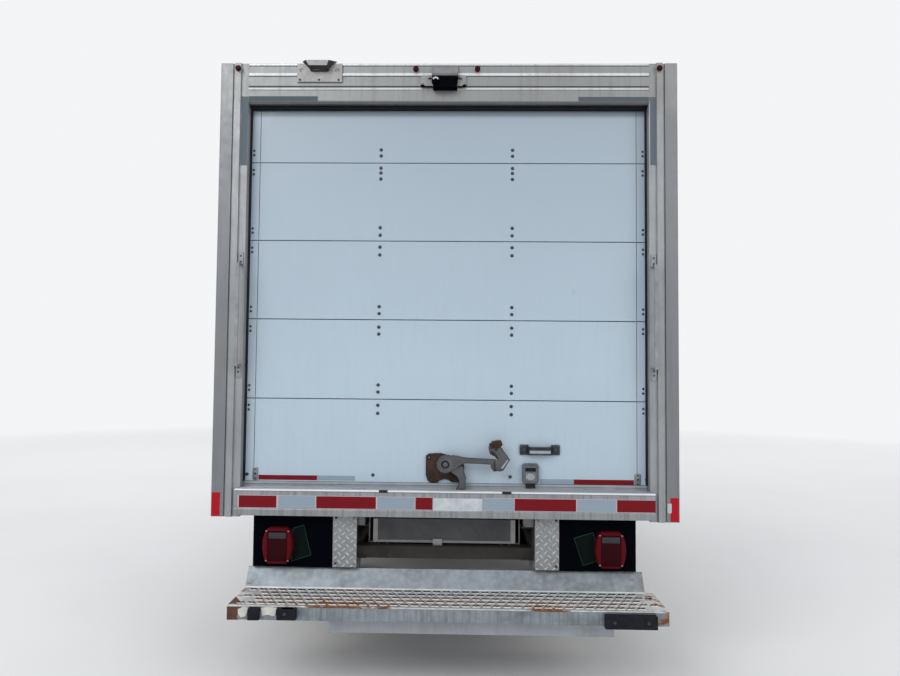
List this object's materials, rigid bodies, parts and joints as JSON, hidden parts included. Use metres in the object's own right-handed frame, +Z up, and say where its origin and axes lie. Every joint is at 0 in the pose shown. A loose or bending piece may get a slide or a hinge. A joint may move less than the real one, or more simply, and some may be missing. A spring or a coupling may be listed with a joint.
{
  "type": "box truck",
  "caption": "Light box truck: cutaway cab, ladder chassis, low van body with a roll-up rear door, stowed walk ramp and galvanised rear step bumper.",
  "frame": {"origin": "middle of the truck's length and width, on the ground", "axes": "+Y forward towards the cab, +X to the driver's right, +Z up"},
  "size_m": [2.54, 6.4298, 2.947],
  "materials": {
    "chassis_paint": "satin black",
    "engine_metal": "cast, oily",
    "black_metal": "semi-gloss black",
    "cast_metal": "cast, lightly rusted",
    "spring_steel": "oiled dark steel",
    "black_plastic": "moulded, fine grain",
    "exhaust_steel": "heat-stained",
    "cab_paint": "gloss white",
    "cab_floor_mat": "ribbed mat",
    "cab_plastic": "moulded grain",
    "seat_cloth": "woven cloth",
    "glass": "tinted",
    "grey_plastic": "moulded",
    "lamp_clear": "clear lens",
    "bumper_steel": "bright steel",
    "galvanised": "galvanised",
    "floor_wood": "oiled hardwood boards",
    "body_panel": "white sheet",
    "frame_aluminium": "weathered extrusion",
    "sill_steel": "worn",
    "door_panel": "pale blue-white",
    "latch_steel": "zinc, rusted",
    "handle_steel": "dull steel",
    "lamp_red": "red lens",
    "bracket_aluminium": "plain sheet",
    "treadplate": "treadplate",
    "ramp_aluminium": "extruded",
    "bumper_galvanised": "galvanised, rusty tread",
    "black_rubber": "moulded",
    "tyre": "worn rubber",
    "rim_paint": "silver paint"
  },
  "bodies": {
    "truck": {"chassis_frame": "chassis_paint", "engine_block": "engine_metal", "radiator": "black_metal", "front_suspension": "chassis_paint", "rear_axle": "chassis_paint", "leaf_springs": "spring_steel", "driveshaft": "spring_steel", "fuel_tank": "black_plastic", "exhaust": "exhaust_steel", "cab_shell": "cab_paint", "cab_floor": "cab_floor_mat", "dashboard": "cab_plastic", "seats": "seat_cloth", "steering_wheel": "cab_plastic", "windscreen": "glass", "fender_left": "cab_paint", "fender_right": "cab_paint", "grille_panel": "grey_plastic", "headlamps": "lamp_clear", "front_bumper": "bumper_steel", "body_underframe": "galvanised", "load_floor": "floor_wood", "side_wall_left": "body_panel", "side_wall_right": "body_panel", "front_wall": "body_panel", "body_roof": "body_panel", "rear_posts": "frame_aluminium", "rear_header": "frame_aluminium", "rear_sill": "sill_steel", "roll_door": "door_panel", "door_latch": "latch_steel", "grab_handles": "handle_steel", "marker_lamps": "lamp_red", "rear_camera": "black_plastic", "header_bracket": "bracket_aluminium", "lamp_panels": "black_metal", "tail_lamps": "lamp_red", "tread_strips": "treadplate", "step_bumper": "bumper_galvanised", "bumper_pads": "black_rubber"},
    "steer_left": {"knuckle_left": "cast_metal"},
    "steer_right": {"knuckle_right": "cast_metal"},
    "door_left": {"door_left": "cab_paint", "door_glass_left": "glass", "mirror_left": "black_plastic"},
    "door_right": {"door_right": "cab_paint", "door_glass_right": "glass", "mirror_right": "black_plastic"},
    "hood": {"hood": "cab_paint"},
    "ramp": {"walk_ramp": "ramp_aluminium"},
    "wheel_front_left": {"tyre_front_left": "tyre", "rim_front_left": "rim_paint"},
    "wheel_front_right": {"tyre_front_right": "tyre", "rim_front_right": "rim_paint"},
    "wheel_rear_left": {"tyre_rear_left": "tyre", "rim_rear_left": "rim_paint"},
    "wheel_rear_right": {"tyre_rear_right": "tyre", "rim_rear_right": "rim_paint"}
  },
  "joints": [
    {"name": "steer_left", "type": "hinge", "parent": "truck", "child": "steer_left", "pos_m": [-0.768, 2.355, 0.372], "axis": [0, 0, 1], "range_deg": [-32, 32]},
    {"name": "steer_right", "type": "hinge", "parent": "truck", "child": "steer_right", "pos_m": [0.768, 2.355, 0.372], "axis": [0, 0, 1], "range_deg": [-32, 32]},
    {"name": "spin_front_left", "type": "hinge", "parent": "steer_left", "child": "wheel_front_left", "pos_m": [-0.865, 2.355, 0.372], "axis": [1, 0, 0], "continuous": true},
    {"name": "spin_front_right", "type": "hinge", "parent": "steer_right", "child": "wheel_front_right", "pos_m": [0.865, 2.355, 0.372], "axis": [1, 0, 0], "continuous": true},
    {"name": "spin_rear_left", "type": "hinge", "parent": "truck", "child": "wheel_rear_left", "pos_m": [-0.865, -1.176, 0.372], "axis": [1, 0, 0], "continuous": true},
    {"name": "spin_rear_right", "type": "hinge", "parent": "truck", "child": "wheel_rear_right", "pos_m": [0.865, -1.176, 0.372], "axis": [1, 0, 0], "continuous": true},
    {"name": "door_left_hinge", "type": "hinge", "parent": "truck", "child": "door_left", "pos_m": [-1.005, 1.864, 1], "axis": [0, 0, -1], "range_deg": [0, 65]},
    {"name": "door_right_hinge", "type": "hinge", "parent": "truck", "child": "door_right", "pos_m": [1.005, 1.864, 1], "axis": [0, 0, 1], "range_deg": [0, 65]},
    {"name": "hood_hinge", "type": "hinge", "parent": "truck", "child": "hood", "pos_m": [0, 2.42, 1.251], "axis": [1, 0, 0], "range_deg": [0, 50]},
    {"name": "ramp_slide", "type": "slide", "parent": "truck", "child": "ramp", "axis": [0, -1, 0], "range_m": [0, 2.3]}
  ],
  "couplings": [
    {"joint": "steer_right", "follows": "steer_left", "ratio": 1}
  ]
}
